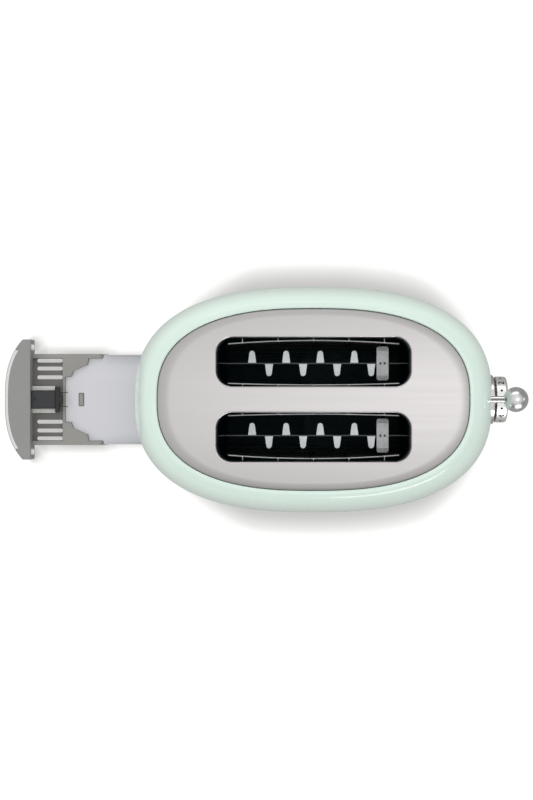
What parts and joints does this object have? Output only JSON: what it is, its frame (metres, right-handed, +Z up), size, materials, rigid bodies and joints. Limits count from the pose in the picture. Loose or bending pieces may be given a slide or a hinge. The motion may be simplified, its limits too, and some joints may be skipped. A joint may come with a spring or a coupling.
{
  "type": "pop-up toaster",
  "caption": "Rounded pop-up toaster with long bread slots in a brushed steel top, ball-ended lever, browning knob, push buttons and a crumb tray drawn out at one end.",
  "frame": {"origin": "on the surface the feet stand on, under the middle of the whole part as stored with its crumb tray drawn out, on the long centre line", "axes": "+X along the length towards the lever and knob end, +Y towards the rear side where the lead leaves, +Z up"},
  "size_m": [0.4354, 0.185, 0.196],
  "materials": {
    "mint_paint": "smooth gloss enamel",
    "brushed_top": "brushed along the length",
    "polished_steel": "polished",
    "bright_steel": "plain bright sheet",
    "galvanised_sheet": "dull zinc-coated sheet",
    "dark_steel": "heat-resistant black",
    "base_plastic": "fine texture",
    "grey_plastic": "satin",
    "black_plastic": "satin",
    "rubber": "matt",
    "mica": null,
    "heating_alloy": "oxidised ribbon",
    "copper_winding": null,
    "circuit_board": "printed board"
  },
  "bodies": {
    "housing": {"base_moulding": "base_plastic", "base_screws": "bright_steel", "body_shell": "mint_paint", "button_switches": "black_plastic", "chassis_floor": "galvanised_sheet", "chassis_rivets": "bright_steel", "control_board": "circuit_board", "cord_gland": "rubber", "end_plate_lever": "galvanised_sheet", "end_plate_tray": "galvanised_sheet", "guide_rod": "bright_steel", "heater_ribbon_inner_front": "heating_alloy", "heater_ribbon_inner_rear": "heating_alloy", "heater_ribbon_outer_front": "heating_alloy", "heater_ribbon_outer_rear": "heating_alloy", "knob_bezel": "polished_steel", "latch_striker": "galvanised_sheet", "magnet_coil": "copper_winding", "magnet_core": "galvanised_sheet", "mica_board_inner_front": "mica", "mica_board_inner_rear": "mica", "mica_board_outer_front": "mica", "mica_board_outer_rear": "mica", "plinth_band": "polished_steel", "potentiometer": "black_plastic", "power_contacts": "black_plastic", "reflector_front": "galvanised_sheet", "reflector_rear": "galvanised_sheet", "return_spring": "bright_steel", "rod_bracket": "galvanised_sheet", "rubber_feet": "rubber", "slot_collar_front": "dark_steel", "slot_collar_rear": "dark_steel", "top_plate": "brushed_top"},
    "carriage": {"bread_rack_front": "bright_steel", "bread_rack_rear": "bright_steel", "guard_spreader_front": "bright_steel", "guard_spreader_rear": "bright_steel", "carriage_slider": "black_plastic", "keeper_plate": "bright_steel", "lever_arm": "polished_steel", "lever_ball": "polished_steel"},
    "guard_outer_rear": {"bread_guard_outer_rear": "bright_steel"},
    "guard_inner_rear": {"bread_guard_inner_rear": "bright_steel"},
    "guard_inner_front": {"bread_guard_inner_front": "bright_steel"},
    "guard_outer_front": {"bread_guard_outer_front": "bright_steel"},
    "knob": {"browning_knob": "polished_steel", "knob_shaft": "bright_steel"},
    "cancel_button_body": {"cancel_button": "polished_steel"},
    "defrost_button_body": {"defrost_button": "polished_steel"},
    "reheat_button_body": {"reheat_button": "polished_steel"},
    "bagel_button_body": {"bagel_button": "polished_steel"},
    "tray": {"tray_face": "grey_plastic", "tray_face_strip": "polished_steel", "tray_frame": "grey_plastic", "tray_pan": "bright_steel", "tray_bumpers": "rubber", "latch_housing": "black_plastic"},
    "latch": {"latch_plunger": "black_plastic"}
  },
  "joints": [
    {"name": "carriage_slide", "type": "slide", "parent": "housing", "child": "carriage", "axis": [0, 0, -1], "range_m": [0, 0.065], "stiffness_N_per_m": 60, "springref_m": -0.12, "deforming": ["return_spring"]},
    {"name": "guard_outer_rear_hinge", "type": "hinge", "parent": "housing", "child": "guard_outer_rear", "pos_m": [0.04995, 0.045, 0.057], "axis": [1, 0, 0], "range_deg": [0, 4.2]},
    {"name": "guard_inner_rear_hinge", "type": "hinge", "parent": "housing", "child": "guard_inner_rear", "pos_m": [0.04995, 0.0118, 0.057], "axis": [1, 0, 0], "range_deg": [-4.2, 0]},
    {"name": "guard_inner_front_hinge", "type": "hinge", "parent": "housing", "child": "guard_inner_front", "pos_m": [0.04995, -0.0118, 0.057], "axis": [1, 0, 0], "range_deg": [0, 4.2]},
    {"name": "guard_outer_front_hinge", "type": "hinge", "parent": "housing", "child": "guard_outer_front", "pos_m": [0.04995, -0.045, 0.057], "axis": [1, 0, 0], "range_deg": [-4.2, 0]},
    {"name": "knob_turn", "type": "hinge", "parent": "housing", "child": "knob", "pos_m": [0.20695, 0, 0.054], "axis": [1, 0, 0], "range_deg": [-138, 92]},
    {"name": "cancel_button_press", "type": "slide", "parent": "housing", "child": "cancel_button_body", "axis": [-0.9578, 0.2874, 0], "range_m": [0, 0.0015], "stiffness_N_per_m": 400, "springref_m": -0.002},
    {"name": "defrost_button_press", "type": "slide", "parent": "housing", "child": "defrost_button_body", "axis": [-0.9578, -0.2874, 0], "range_m": [0, 0.0015], "stiffness_N_per_m": 400, "springref_m": -0.002},
    {"name": "reheat_button_press", "type": "slide", "parent": "housing", "child": "reheat_button_body", "axis": [-0.9578, 0.2874, 0], "range_m": [0, 0.0015], "stiffness_N_per_m": 400, "springref_m": -0.002},
    {"name": "bagel_button_press", "type": "slide", "parent": "housing", "child": "bagel_button_body", "axis": [-0.9578, -0.2874, 0], "range_m": [0, 0.0015], "stiffness_N_per_m": 400, "springref_m": -0.002},
    {"name": "tray_slide", "type": "slide", "parent": "housing", "child": "tray", "axis": [1, 0, 0], "range_m": [-0.13, 0.1312]},
    {"name": "latch_press", "type": "slide", "parent": "tray", "child": "latch", "axis": [-1, 0, 0], "range_m": [0, 0.003], "stiffness_N_per_m": 300, "springref_m": -0.003}
  ],
  "couplings": [
    {"joint": "guard_outer_rear_hinge", "follows": "carriage_slide", "rad_per_m": 1.074},
    {"joint": "guard_inner_rear_hinge", "follows": "carriage_slide", "rad_per_m": -1.074},
    {"joint": "guard_inner_front_hinge", "follows": "carriage_slide", "rad_per_m": 1.074},
    {"joint": "guard_outer_front_hinge", "follows": "carriage_slide", "rad_per_m": -1.074}
  ]
}
